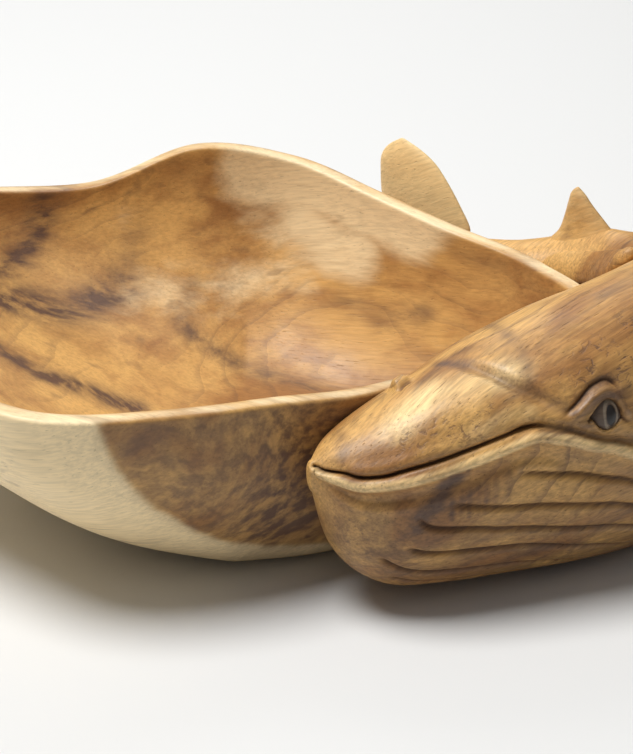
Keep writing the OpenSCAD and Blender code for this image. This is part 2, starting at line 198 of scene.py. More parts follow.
BOWL_SAP_AND_SHEEN_INSIDE = [
    ([(10, 148, 124), (42, 138, 122), (64, 123, 116), (92, 104, 109)], 24, 1.25),
    ([(31, 140, 96), (48, 128, 84), (62, 118, 86)], 22, 0.78),
    # A painted sheen: a pale band low on the far slope, where the lacquer reflects the light
    ([(-62, 120, 60), (-26, 124, 60), (5, 130, 64), (31, 128, 64)], 19, 0.50),
    ([(8, 142, 92), (31, 140, 84)], 20, 0.55),
    ([(-92, 130, 96), (-70, 135, 96)], 14, 0.40),
]
BOWL_STAIN_AND_SHADE_INSIDE = [
    ([(-112, 141, 112), (-116, 137, 94), (-122, 129, 82), (-136, 119, 74)], 9, 1.3),
    ([(-150, 95, 66), (-125, 104, 61), (-103, 106, 55), (-82, 115, 57), (-70, 122, 63)], 12, 1.3),
    ([(-70, 122, 62), (-68, 128, 74), (-60, 138, 95)], 9, 0.55),
    ([(-150, 62, 62), (-128, 57, 50), (-108, 52, 40), (-86, 54, 31), (-58, 50, 20)], 8, 1.3),
    ([(-38, 112, 46), (-25, 104, 37), (-8, 98, 28), (12, 92, 20), (40, 78, 18)], 6, 0.9),
    ([(-30, 128, 62), (-36, 112, 45), (-31, 104, 36)], 5, 0.5),
    ([(53, 114, 58), (75, 97, 53), (100, 84, 62)], 6, 0.7),
    ([(60, 30, 14), (85, 10, 16), (105, -8, 24)], 9, 0.5),
    # Painted shade that dims the floor where the overhead light falls brightest
    ([(25, 86, 20), (70, 72, 20), (108, 50, 30)], 30, 0.24),
    ([(-37, 148, 123), (-12, 150, 112), (2, 146, 98)], 17, 0.20),
    ([(-172, 60, 84), (-168, 95, 92), (-150, 118, 92)], 12, 0.8),
    ([(118, 88, 104), (140, 66, 98), (152, 48, 94)], 15, 0.35),
]
# Heartwood shows on the outside within these balls: centre, radius
BOWL_HEART_OUTSIDE = [((80, -140, 140), 140), ((-190, 120, 140), 105), ((90, 160, 120), 120)]

# Painted shade on the outside, low under the rim where the whale's head lies against it
BOWL_SHADE_OUTSIDE = [([(26, -98, 20), (38, -112, 44), (48, -128, 76)], 30, 0.50)]
OUTSIDE_SHADE = 0.76             # painted shade: the outside's heartwood, which faces down, is darkened

# On the whale: points on the skin, radius in millimetres, strength
WHALE_SAP = [
    (LIP_LINE, 2.5, 1.3),
    ([(2.2, 72), (2.8, 73), (3.24, 69), (3.66, 65)], 19, 0.55),
    ([(1.4, 60), (2.0, 55), (2.5, 45)], 10, 0.25),
    ([(3.0, 36), (3.4, 35), (3.8, 34)], 9, 0.42),
]
JAW_BARS = [(2.66, 1.0), (2.80, 0.7), (2.90, 1.0), (3.02, 0.6), (3.12, 0.8), (3.26, 0.45), (3.45, 0.5)]
WHALE_STAIN_AND_SHADE = [
    ([(2.16, -14), (2.3, -8), (2.44, -5), (2.6, 0), (2.75, 5)], 5, 1.7),
    ([(1.2, -24), (1.6, -26), (2.0, -20), (2.3, -8)], 6, 0.8),
    ([(0.4, 20), (0.8, 27), (1.2, 26)], 4, 0.5),
    ([(4.5, 0), (5.0, -8), (5.6, -14)], 12, 0.6),
    ([(4.5, 14), (4.8, 8), (5.2, 6)], 5, 0.45),
    ([(0.3, -45), (0.7, -66), (1.1, -63), (2.0, -62)], 9, 0.5),
    # Painted shade on the lower jaw, which faces down
    ([(1.2, -34), (2.2, -36), (3.4, -40), (4.6, -42), (5.8, -44)], 34, 0.76),
    ([(4.5, 14), (4.75, 24), (4.9, 31), (5.06, 22)], 9, 1.0),
    ([(4.0, 16), (4.3, 12), (4.7, 8), (5.2, 3)], 5, 0.95),
    (BROW_LINE, 3.4, 1.2),
    ([(5.2, 20), (5.5, 35), (5.7, 60)], 12, 0.25),
    ([(0.9, 45), (1.1, 70), (1.2, 95)], 4, 0.7),
    ([(3.9, 40), (4.1, 70), (4.2, 100), (4.3, 130)], 4, 0.6),
    ([(2.7, 28), (3.1, 30), (3.4, 34)], 6, 0.15),
    ([(3.9, 70), (4.2, 100), (4.4, 130)], 5, 0.35),
    ([(5.9, 10), (6.1, 50), (6.2, 100)], 8, 0.4),
    ([(7.4, 0), (7.5, 60), (7.3, 110)], 9, 0.45),
] + [([(t, 9), (t + 0.03, -12)], 2.0, 1.3 * strength) for t, strength in JAW_BARS]
WHALE_BURL = [
    ([(2.2, 46), (2.62, 43), (3.0, 37), (3.26, 44)], 7, 1.0),
    ([(2.7, 32), (3.1, 28)], 4, 0.7),
    ([(4.74, 42), (5.0, 54), (5.16, 40), (5.5, 60)], 11, 1.0),
    ([(1.0, -30), (1.4, -24)], 8, 0.6),
    ([(3.4, -30), (4.0, -33), (4.6, -38)], 6, 0.5),
]


# ---------------- curves

def between(knots, place, closed=False):
    """Smooth curve through rows of knots, at places counted in knots."""
    knots = np.asarray(knots, float)
    last = len(knots) - 1
    first = np.floor(place).astype(int)
    if not closed:
        first = np.clip(first, 0, last - 1)
    t = (place - first)[..., None]
    rows = [first + k for k in (-1, 0, 1, 2)]
    p = [knots[row % (last + 1)] if closed else knots[np.clip(row, 0, last)] for row in rows]
    bend = 2 * p[0] - 5 * p[1] + 4 * p[2] - p[3]
    return (2 * p[1] + (p[2] - p[0]) * t + bend * t ** 2
            + (3 * p[1] - p[0] - 3 * p[2] + p[3]) * t ** 3) / 2


def outline_at(rows, share):
    """Smooth values of an outline's rows, whose first column is a share of its height."""
    fine = between(rows, np.linspace(0, len(rows) - 1, 40 * len(rows)))
    return [np.interp(share, fine[:, 0], fine[:, k]) for k in range(1, fine.shape[1])]


def unit(v):
    return v / np.maximum(np.linalg.norm(v, axis=-1, keepdims=True), 1e-9)


def cosd(a):
    return np.cos(np.radians(a))


def sind(a):
    return np.sin(np.radians(a))


def round_end(distance, reach):
    """Rises from 0 at an end to 1 like a quarter of an ellipse."""
    return np.sqrt(1 - (1 - np.clip(distance / reach, 0, 1)) ** 2)


def smooth_step(x):
    x = np.clip(x, 0, 1)
    return x * x * (3 - 2 * x)


def signed_power(v, p):
    return np.sign(v) * np.abs(v) ** p


# ---------------- surfaces of the bowl

def rim_drawn(a):
    """Radius and share of the wave's rise, in a direction."""
    return between(RIM, (a % 360) / RIM_STEP, closed=True)


def drawn_stretch():
    """How much the bowl in the frame is longer and wider than the drawn rim."""
    a = np.arange(0, 360, 5.0)
    r = rim_drawn(a)[:, 0]
    low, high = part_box("bowl")
    drawn = (np.ptp(r * cosd(a)), np.ptp(r * sind(a)))
    return [(high[i] - low[i]) / MM / drawn[i] for i in (0, 1)]


STRETCH_X, STRETCH_Y = drawn_stretch()


def rim_z(a):
    return RIM_HEIGHT + RIM_WAVE * rim_drawn(a)[..., 1]


def foot_drawn(a):
    fx, fy = FOOT_LENGTH / 2 / STRETCH_X, FOOT_WIDTH / 2 / STRETCH_Y
    shift = FOOT_SHIFT / STRETCH_X
    along = (cosd(a) / fx) ** 2 + (sind(a) / fy) ** 2
    lean = shift * cosd(a) / fx / fx
    return (lean + np.sqrt(lean ** 2 + along * (1 - (shift / fx) ** 2))) / along


def flare(a, rise):
    """Share of the way from the foot to the rim, for a share of the height."""
    r = np.clip(rise, 0, 1)
    return np.sqrt(1 - (1 - r) ** 2) ** (1 + LEFT_SLACK * np.maximum(0, -cosd(a)))


def outer_drawn(a, rise):
    foot = foot_drawn(a)
    return foot + (rim_drawn(a)[..., 0] - foot) * flare(a, rise)


def on_plan(a, r):
    return np.stack([r * cosd(a) * STRETCH_X, r * sind(a) * STRETCH_Y], -1)


def rim_plan(a):
    return on_plan(a, rim_drawn(a)[..., 0])


def rim_inside(a):
    along = unit(rim_plan(a + TURN) - rim_plan(a - TURN))
    return rim_plan(a) + WALL * np.stack([-along[..., 1], along[..., 0]], -1)


def floor_edge(a):
    p = on_plan(a, foot_drawn(a))
    return p * (1 - FLOOR_INSET / np.linalg.norm(p, axis=-1, keepdims=True))


def raised(plan, z):
    return np.concatenate([plan, np.broadcast_to(z, plan.shape[:-1])[..., None]], -1)


def outer_point(a, rise):
    return raised(on_plan(a, outer_drawn(a, rise)), rim_z(a) * rise)


def inner_point(a, rise):
    edge = floor_edge(a)
    plan = edge + (rim_inside(a) - edge) * flare(a, rise)[..., None]
    return raised(plan, FLOOR_THICK + (rim_z(a) - FLOOR_THICK) * rise)


# ---------------- surface of the whale

def whale_at(t):
    s = between(WHALE, np.asarray(t, float))
    s[..., 0] *= STRETCH_X
    s[..., 1] *= STRETCH_Y
    return s


def heading(t):
    a, b = np.maximum(t - STATION_STEP, 0), np.minimum(t + STATION_STEP, WHALE_LAST)
    return unit(whale_at(b)[..., :2] - whale_at(a)[..., :2])


def section_point(t, a):
    """Point of the whale's section: 0 is its outer flank, 90 its back, 180 its inner flank."""
    s, h = whale_at(t), heading(t)
    side = s[..., 2] * signed_power(cosd(a), ROUNDNESS)
    tall = np.where(sind(a) > 0, s[..., 3] - s[..., 4], s[..., 4] - s[..., 5])
    up = tall * signed_power(sind(a), ROUNDNESS)
    return np.stack([s[..., 0] + h[..., 1] * side, s[..., 1] - h[..., 0] * side, s[..., 4] + up], -1)


def drawn_place(p):
    """Direction of points round the drawn bowl, and their distance from its middle."""
    x, y = p[..., 0] / STRETCH_X, p[..., 1] / STRETCH_Y
    return np.degrees(np.arctan2(y, x)), np.hypot(x, y)


def scribed(p):
    """What would lie in the bowl's wall moves out to it."""
    a, r = drawn_place(p)
    wall = outer_drawn(a, p[..., 2] / rim_z(a)) + SCRIBE_GAP
    r = np.maximum(r, 1e-6)
    out = np.where(r < wall, wall / r, 1)
    return np.stack([p[..., 0] * out, p[..., 1] * out, p[..., 2]], -1)


def skin(t, a):
    t, a = np.broadcast_arrays(np.asarray(t, float), np.asarray(a, float))
    return scribed(section_point(t, a))


def along_skin(t, a):
    """Direction on the skin from the snout towards the tail."""
    return unit(skin(t + STATION_STEP, a) - skin(t - STATION_STEP, a))


def round_skin(t, a):
    """Direction on the skin round the section."""
    return unit(skin(t, a + TURN) - skin(t, a - TURN))


def skin_normal(t, a):
    return unit(np.cross(along_skin(t, a), round_skin(t, a)))


def skin_line(line, steps=8):
    """Points of a drawn line, laid on the skin."""
    knots = np.array(line, float)
    place = np.linspace(0, len(knots) - 1, steps * (len(knots) - 1) + 1)
    ta = between(knots, place)
    return skin(ta[:, 0], ta[:, 1])


# ---------------- tools for carving

# The marks hold sapwood and a painted sheen, streaks and painted shade, burl, and painted shade in the
# cuts
MARKS = ("sap", "stain", "burl", "crevice")      # what a piece tells its wood, corner by corner


def distance_to(points, line):
    """Distance of each point from a line of points, and where along it the nearest place is."""
    line = np.asarray(line, float)
    best = np.full(len(points), 1e9)
    where = np.zeros(len(points))
    for i, (a, b) in enumerate(zip(line[:-1], line[1:])):
        edge = b - a
        share = np.clip((points - a) @ edge / max(edge @ edge, 1e-9), 0, 1)
        d = np.linalg.norm(points - a - share[:, None] * edge, axis=1)
        nearer = d < best
        best[nearer] = d[nearer]
        where[nearer] = (i + share[nearer]) / (len(line) - 1)
    return best, where


def cut_profile(points, line, half_width, ends):
    """Depth of a cut over its surroundings, 1 at its middle."""
    d, where = distance_to(points, line)
    depth = np.exp(-(d / half_width) ** 2)
    if ends[0]:
        depth *= smooth_step(where / ends[0])
    if ends[1]:
        depth *= smooth_step((1 - where) / ends[1])
    return depth


def painted(points, strokes):
    """Strength of soft strokes of colour at each point."""
    total = np.zeros(len(points))
    for line, radius, strength in strokes:
        d = distance_to(points, line)[0]
        total = np.maximum(total, strength * np.exp(-(d / radius) ** 2))
    return total


def blank(around, along):
    """A closed ball of rings, with the place of each corner along it (0 to 1) and round it."""
    bm = bmesh.new()
    bmesh.ops.create_uvsphere(bm, u_segments=around, v_segments=along, radius=1)
    co = np.array([v.co for v in bm.verts])
    share = np.arccos(np.clip(co[:, 2], -1, 1)) / math.pi
    turn = np.degrees(np.arctan2(co[:, 1], co[:, 0])) % 360
    return bm, share, turn


def place_corners(bm, points):
    """Moves the corners, and turns the faces outwards."""
    for vert, point in zip(bm.verts, points * MM):
        vert.co = point
    if bm.calc_volume(signed=True) < 0:
        bmesh.ops.reverse_faces(bm, faces=bm.faces)
    bm.normal_update()


def spread(count_places, fineness):
    """Places along a line, closer together where its fineness is greater."""
    total = np.concatenate([[0], np.cumsum((fineness[1:] + fineness[:-1]) / 2)])
    return np.interp(count_places, total / total[-1], np.arange(len(fineness)) / (len(fineness) - 1))


def finish_piece(bm, name, node, material, marks=None):
    """Makes the object, with its marks for the wood's figure and for painted shade and sheen, and ties it
    to the frame.
    """
    for face in bm.faces:
        face.smooth = True
    mesh = bpy.data.meshes.new(name)
    bm.to_mesh(mesh)
    bm.free()
    for mark in MARKS:
        values = (marks or {}).get(mark, np.zeros(len(mesh.vertices)))
        mesh.attributes.new(mark, "FLOAT", "POINT").data.foreach_set("value", values)
    piece = bpy.data.objects.new(name, mesh)
    bpy.context.scene.collection.objects.link(piece)
    mesh.materials.append(material)
    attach(piece, BODY)
    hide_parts(node)
    return piece


# ---------------- materials

def add_node(tree, kind, inputs=None, **settings):
    """Adds a node. Its inputs are set to a value, or linked where a socket is given."""
    node = tree.nodes.new(kind)
    for key, value in settings.items():
        setattr(node, key, value)
    for key, value in (inputs or {}).items():
        if isinstance(value, bpy.types.NodeSocket):
            tree.links.new(value, node.inputs[key])
        else:
            node.inputs[key].default_value = value
    return node


def math_node(tree, operation, a, b=0.0, clamp=False):
    return add_node(tree, "ShaderNodeMath", {0: a, 1: b}, operation=operation, use_clamp=clamp).outputs[0]


def ramp_range(tree, value, low, high, to_low=0.0, to_high=1.0):
    """Smooth change from one value to another, as an input goes from low to high."""
    return add_node(tree, "ShaderNodeMapRange", {
        "Value": value, "From Min": low, "From Max": high, "To Min": to_low, "To Max": to_high,
    }, interpolation_type="SMOOTHSTEP").outputs["Result"]


def mix_colour(tree, factor, a, b, blend="MIX"):
    # A mix node keeps its two colours at 6 and 7, and the mixed colour at 2
    inputs = {0: factor, 6: a, 7: b}
    return add_node(tree, "ShaderNodeMix", inputs, data_type="RGBA", blend_type=blend).outputs[2]


def vector_node(tree, operation, a, b):
    return add_node(tree, "ShaderNodeVectorMath", {0: a, 1: b}, operation=operation).outputs[0]


def noise_at(tree, vector, scale, detail=2.0, rough=0.5, distortion=0.0, output="Fac"):
    """Noise at one scale, or at three scales that stretch it along the fibres."""
    if isinstance(scale, tuple):
        vector = vector_node(tree, "MULTIPLY", vector, scale)
        scale = 1.0
    return add_node(tree, "ShaderNodeTexNoise", {
        "Vector": vector, "Scale": scale, "Detail": detail, "Roughness": rough, "Distortion": distortion,
    }).outputs[output]


def dimmed(tree, colour, red, green, blue):
    """A colour with each of its shares multiplied by a value."""
    tint = add_node(tree, "ShaderNodeCombineColor", {"Red": red, "Green": green, "Blue": blue}).outputs[0]
    return mix_colour(tree, 1.0, colour, tint, blend="MULTIPLY")


def wood_figure_group():
    """Grain, growth rings, sapwood, mineral streaks, pores and burl speckles of one carved block, with
    painted shade and a painted sheen where they are marked.
    """
    name = "Wood Figure"
    if name in bpy.data.node_groups:
        return bpy.data.node_groups[name]
    tree = bpy.data.node_groups.new(name, "ShaderNodeTree")
    face = tree.interface
    face.new_socket("Vector", in_out="INPUT", socket_type="NodeSocketVector")
    for label in ("Heartwood", "Late Wood", "Sapwood", "Streak"):
        face.new_socket(label, in_out="INPUT", socket_type="NodeSocketColor")
    for label in ("Sap", "Stain", "Burl", "Crevice", "Ring Strength", "Fibre Strength"):
        face.new_socket(label, in_out="INPUT", socket_type="NodeSocketFloat")
    face.new_socket("Color", in_out="OUTPUT", socket_type="NodeSocketColor")
    for label in ("Roughness", "Height"):
        face.new_socket(label, in_out="OUTPUT", socket_type="NodeSocketFloat")
    given = tree.nodes.new("NodeGroupInput").outputs
    result = tree.nodes.new("NodeGroupOutput").inputs
    place = given["Vector"]
    plus, minus, times, power = (
        partial(math_node, tree, operation) for operation in ("ADD", "SUBTRACT", "MULTIPLY", "POWER"))
    ramp, mix, dim, noise, vector = (
        partial(maker, tree) for maker in (ramp_range, mix_colour, dimmed, noise_at, vector_node))

    # The block's fibres wander: slow swirls bend what follows
    swirl = noise(place, 7.0, output="Color")
    swirl = vector("SUBTRACT", swirl, (0.5, 0.5, 0.5))
    swirl = vector("MULTIPLY", swirl, (0.03, 0.075, 0.075))
    fibre = vector("ADD", place, swirl)
    calm = vector("ADD", place, vector("MULTIPLY", swirl, (0.25, 0.25, 0.25)))

    # Broad bands of golden and brown wood along the grain
    broad = noise(fibre, (7, 26, 26), 3.0, 0.55)
    blotch = noise(place, (30, 45, 45), 4.0, 0.6, 1.2)
    brown = ramp(plus(broad, times(blotch, 0.30)), 0.52, 0.80)
    colour = mix(brown, given["Heartwood"], given["Late Wood"])

    # Growth rings round the log's axis, which fade in and out
    rings = add_node(tree, "ShaderNodeTexWave", {
        "Vector": fibre, "Scale": 34.0, "Distortion": 2.2, "Detail": 3.0, "Detail Scale": 1.4,
    }, wave_type="RINGS", rings_direction="X", wave_profile="SAW").outputs["Fac"]
    ring_line = ramp(rings, 0.72, 0.98)
    ring_fade = ramp(noise(place, 12.0, 1.0), 0.40, 0.66)
    ring_mask = times(times(ring_line, ring_fade), given["Ring Strength"])
    colour = mix(ring_mask, colour, given["Streak"])

    # Sapwood, and a painted sheen, where they are marked, with a ragged edge that follows the fibres
    ragged = minus(noise(fibre, (16, 60, 60), 4.0, 0.6), 0.5)
    sap = plus(given["Sap"], times(ragged, 0.8))
    colour = mix(ramp(sap, 0.22, 0.80), colour, given["Sapwood"])

    # Purple-brown mineral streaks and painted shade where they are marked, and thin streaks anywhere
    vein = noise(fibre, (10, 150, 150), 4.0, 0.6)
    stain = times(given["Stain"], ramp(vein, 0.30, 0.68, 0.35, 1.15))
    thin = noise(fibre, (6, 95, 95))
    stain = math_node(tree, "MAXIMUM", stain, times(ramp(thin, 0.60, 0.72), 0.40))
    colour = mix(times(stain, 0.86, clamp=True), colour, given["Streak"])

    # Fine fibres and pores
    fine = noise(calm, (35, 700, 700), 2.0, 0.6)
    pore = ramp(noise(calm, (90, 1300, 1300), 1.0), 0.66, 0.74)
    shade = ramp(fine, 0.25, 0.75, 0.72, 1.13)
    shade = times(shade, ramp(pore, 0.0, 1.0, 1.0, 0.62))
    shade = power(shade, given["Fibre Strength"])
    colour = dim(colour, shade, shade, shade)

    # Burl speckles and short ripples
    speck = noise(place, (190, 260, 260), 3.0, 0.7, 0.8)
    speck = times(ramp(speck, 0.52, 0.66), given["Burl"])
    colour = mix(times(speck, 0.75, clamp=True), colour, given["Streak"])

    # Painted shade in what is cut, darkest in the mouth's gap, the eye's slit and the pleats
    cut_shade_factor = ramp(given["Crevice"], 0.05, 1.0, 1.0, 0.10)
    colour = dim(colour, cut_shade_factor, power(cut_shade_factor, 1.15), power(cut_shade_factor, 1.3))
    tree.links.new(colour, result["Color"])

    # An uneven satin, duller in the cuts and the pores
    rough = ramp(noise(place, 38.0, 3.0), 0.3, 0.7, 0.42, 0.56)
    rough = plus(plus(rough, times(given["Crevice"], 0.3)), times(pore, 0.15))
    tree.links.new(rough, result["Roughness"])

    # Relief of the fibres, the open pores and the last strokes of the knife
    height = minus(minus(times(fine, 0.5), times(pore, 0.6)), times(speck, 0.5))
    height = plus(height, times(noise(place, 55.0, 1.0), 1.2))
    tree.links.new(height, result["Height"])
    return tree


def wood_material(name, turn=(0, 0, 0), centre=(0, 0, 0), rings=0.4, fibres=1.0, coat=0.05, bump=0.42,
                  **colours):
    """A satin-lacquered wood. Turn and centre put the log's axis where this piece was cut from it."""
    if name in bpy.data.materials:
        return bpy.data.materials[name]
    looks = bpy.context.scene.whale_bowl_colours
    material = bpy.data.materials.new(name)
    material.use_nodes = True
    tree = material.node_tree
    tree.nodes.clear()
    place = tree.nodes.new("ShaderNodeTexCoord").outputs["Object"]
    log = add_node(tree, "ShaderNodeMapping", {
        "Vector": place, "Location": centre, "Rotation": [math.radians(v) for v in turn]}).outputs[0]
    figure = add_node(tree, "ShaderNodeGroup", node_tree=wood_figure_group())
    tree.links.new(log, figure.inputs["Vector"])
    shades = {"Heartwood": looks.heartwood, "Late Wood": looks.late_wood, "Sapwood": looks.sapwood,
              "Streak": looks.streak}
    shades.update({key.replace("_", " ").title(): value for key, value in colours.items()})
    for label, value in shades.items():
        figure.inputs[label].default_value = (*value[:3], 1)
    figure.inputs["Ring Strength"].default_value = rings
    figure.inputs["Fibre Strength"].default_value = fibres
    for mark in MARKS:
        layer = add_node(tree, "ShaderNodeAttribute", attribute_name=mark)
        tree.links.new(layer.outputs["Fac"], figure.inputs[mark.title()])
    relief = add_node(tree, "ShaderNodeBump", {
        "Strength": bump, "Distance": 0.0007, "Height": figure.outputs["Height"]})
    shader = add_node(tree, "ShaderNodeBsdfPrincipled", {
        "Base Color": figure.outputs["Color"], "Roughness": figure.outputs["Roughness"],
        "Normal": relief.outputs[0], "IOR": 1.47, "Coat Weight": coat, "Coat Roughness": 0.28,
    })
    tree.links.new(shader.outputs[0], tree.nodes.new("ShaderNodeOutputMaterial").inputs[0])
    return material


def fin_wood():
    return wood_material("fin wood", turn=(0, 20, 10), centre=(0.03, -0.08, -0.20), rings=0.25, fibres=0.5,
                         sapwood=bpy.context.scene.whale_bowl_colours.lip_wood)


# ---------------- properties

def shade_property(label, about, colour):
    return FloatVectorProperty(name=label, description=about, default=colour, size=3, min=0, max=1,
                               subtype="COLOR")


def length_property(label, about, length, low, high):
    return FloatProperty(name=label, description=about, default=length, min=low, max=high, unit="LENGTH")


class WhaleBowlSizes(bpy.types.PropertyGroup):
    rim_rounding: length_property("Rim rounding", "Radius of the rim's two arrises", 0.0016, 0.0005, 0.004)
    rim_crown: length_property("Rim crown", "Rise of the rim's top over its arrises", 0.0004, 0.0, 0.001)
    eye_width: length_property("Eye width", "Diameter of the eye's ball", 0.0185, 0.012, 0.022)
    pupil_height: length_property("Pupil height", "Height of the upright pupil", 0.0100, 0.006, 0.012)
    pupil_width: length_property("Pupil width", "Width of the upright pupil", 0.0052, 0.003, 0.007)
    cut_depth: FloatProperty(
        name="Cut depth", description="Depth of the carved lines, as a share of the drawn depth",
        default=1.0, min=0.0, max=1.5, subtype="FACTOR")
    bowl_sides: IntProperty(
        name="Bowl sides", description="Corners round the bowl", default=300, min=90, max=360)


class WhaleBowlColours(bpy.types.PropertyGroup):
    heartwood: shade_property("Heartwood", "Golden heartwood", (0.67, 0.380, 0.118))
    late_wood: shade_property("Late wood", "Browner bands of the heartwood", (0.35, 0.160, 0.046))
    sapwood: shade_property("Sapwood", "Cream sapwood", (0.90, 0.705, 0.415))
    lip_wood: shade_property("Lip wood", "Yellower sapwood of the whale's lips", (0.95, 0.675, 0.320))
    streak: shade_property("Streak", "Purple-brown mineral streaks", (0.125, 0.064, 0.036))
    eye_ball: shade_property("Eye", "Grey-brown wood of the eye", (0.115, 0.075, 0.050))
    eye_ring: shade_property("Eye ring", "Paler ring round the pupil", (0.24, 0.185, 0.13))
    pupil: shade_property("Pupil", "Near-black wood of the pupil", (0.012, 0.008, 0.006))
    dowel: shade_property("Dowels", "Pale dowel wood", (0.62, 0.45, 0.26))
    floor: shade_property("Floor", "Pale paper of the sweep", (0.72, 0.72, 0.71))


# ---------------- pieces

# Corners round each blank, and rings along it. The bowl's corners are one of the sizes
CORNERS = {
    "whale": (264, 300), "dorsal_fin": (72, 70), "tail_fluke": (80, 130), "flipper": (56, 110),
    "eye": (72, 60), "pupil": (48, 32),
}
BOWL_RINGS = 230

# Shares of the way from the floor's middle over the rim to the foot's middle
FLOOR_END, RIM_START, RIM_END, WALL_END = 0.10, 0.50, 0.56, 0.92
RIM_MIDDLE = (RIM_START + RIM_END) / 2
FLOOR_EASE = np.linspace(-0.08, 0.08, 9)     # steps over which floor and wall run together
RIM_FIGURE = 0.04                # share over which the rim's top turns paler
RIM_SAP = 0.55
HEART_FADE = 7                   # half of the band in which the heartwood ends, in millimetres
RIM_CORNER = 0.3                 # share of the way over the rim that rounds each arris


class WHALEBOWL_OT_bowl(bpy.types.Operator):
    """Carve the thin-walled bowl with its waved rim and flat foot"""
    bl_idname = "whale_bowl.bowl"
    bl_label = "Bowl"

    def execute(self, context):
        sizes = context.scene.whale_bowl_sizes
        round_over, crown = sizes.rim_rounding / MM, sizes.rim_crown / MM
        bm, share, a = blank(sizes.bowl_sides, BOWL_RINGS)
        points = self.shape(share, a, round_over, crown)
        eased = np.mean([self.shape(share + step, a, round_over, crown) for step in FLOOR_EASE], axis=0)
        near_edge = np.exp(-((share - FLOOR_END) / FLOOR_EASE[-1]) ** 2)[:, None]
        place_corners(bm, points + (eased - points) * near_edge)
        points = np.array([v.co for v in bm.verts]) / MM
        inside = share < RIM_MIDDLE
        heart = np.min([np.linalg.norm(points - centre, axis=1) - radius
                        for centre, radius in BOWL_HEART_OUTSIDE], axis=0)
        top = smooth_step(1 - np.abs(share - RIM_MIDDLE) / RIM_FIGURE)
        marks = {
            # Sapwood and a painted sheen inside, sapwood outside, paler on the rim's top
            "sap": np.where(inside, painted(points, BOWL_SAP_AND_SHEEN_INSIDE),
                            smooth_step(0.5 + heart / HEART_FADE / 2)) * (1 - top) + RIM_SAP * top,
            # Streaks inside; painted shade on the outside's heartwood and under the rim
            "stain": np.where(inside, painted(points, BOWL_STAIN_AND_SHADE_INSIDE),
                              OUTSIDE_SHADE * smooth_step(0.5 - heart / HEART_FADE / 2)
                              + painted(points, BOWL_SHADE_OUTSIDE)) * (1 - top),
        }
        wood = wood_material("bowl wood", turn=(12, 6, 24), centre=(0.02, 0.04, -0.26), rings=0.26,
                             fibres=0.5, bump=0.22)
        finish_piece(bm, "carved_bowl", "bowl", wood, marks)
        return {"FINISHED"}

    @staticmethod
    def shape(share, a, round_over, crown):
        """From the middle of the floor, up the inside, over the rim, down to the foot's middle."""
        top = rim_z(a)
        up = np.clip((share - FLOOR_END) / (RIM_START - FLOOR_END), 0, 1)
        down = np.clip((share - RIM_END) / (WALL_END - RIM_END), 0, 1)
        rise_in = (1 - cosd(90 * up)) * (1 - round_over / (top - FLOOR_THICK))
        rise_out = (1 - cosd(90 * (1 - down))) * (1 - round_over / top)
        inner, outer = inner_point(a, rise_in), outer_point(a, rise_out)
        floor = inner.copy()
        floor[:, :2] *= (share / FLOOR_END)[:, None]
        foot = outer.copy()
        foot[:, :2] *= ((1 - share) / (1 - WALL_END))[:, None]
        over = np.clip((share - RIM_START) / (RIM_END - RIM_START), 0, 1)
        rim = WHALEBOWL_OT_bowl.over_the_rim(a, over, top, round_over, crown)
        stretch = [share < FLOOR_END, share < RIM_START, share < RIM_END, share < WALL_END]
        picks = [floor, inner, rim, outer]
        return np.select([s[:, None] for s in stretch], picks, foot)

    @staticmethod
    def over_the_rim(a, over, top, round_over, crown):
        """Quarter-round, crowned flat, quarter-round, from the inside to the outside."""
        inside, outside = rim_inside(a), rim_plan(a)
        wide = np.linalg.norm(outside - inside, axis=1)
        theta = 90 * np.clip(np.minimum(over, 1 - over) / RIM_CORNER, 0, 1)
        flat = round_over + (wide - 2 * round_over) * (over - RIM_CORNER) / (1 - 2 * RIM_CORNER)
        first, last = over < RIM_CORNER, over > 1 - RIM_CORNER
        rounded = round_over * (1 - cosd(theta))
        in_share = np.select([first, last], [rounded, wide - rounded], flat) / wide
        z = top - crown - round_over * (1 - sind(theta)) + crown * sind(180 * np.clip(in_share, 0, 1))
        return raised(inside + (outside - inside) * in_share[:, None], z)


SNOUT_CAP = 0.03                 # share of the rings that round off each end
SNOUT_BULGE = 2.5
EYE_HOLLOW = 3.4                 # depth of the opening between the lids
EYE_REACH = 25                   # nothing farther than this from the eye is hollowed
LID_EDGE = 1.2                   # width of the opening's edge
HEAD_END = 6.6                   # the station where the carving of the head stops
TABLE_BAND = 2                   # nothing is carved this near to the table
# Stations and angles, and how close together the corners stand there
RING_FINENESS = ([0, 4.2, 4.5, 5.3, 5.7, 6.5, 12], [1, 1, 1.7, 1.7, 0.8, 0.3, 0.25])
SIDE_FINENESS = ([-180, -95, -70, 95, 120, 180], [0.35, 0.5, 1, 1, 0.45, 0.35])


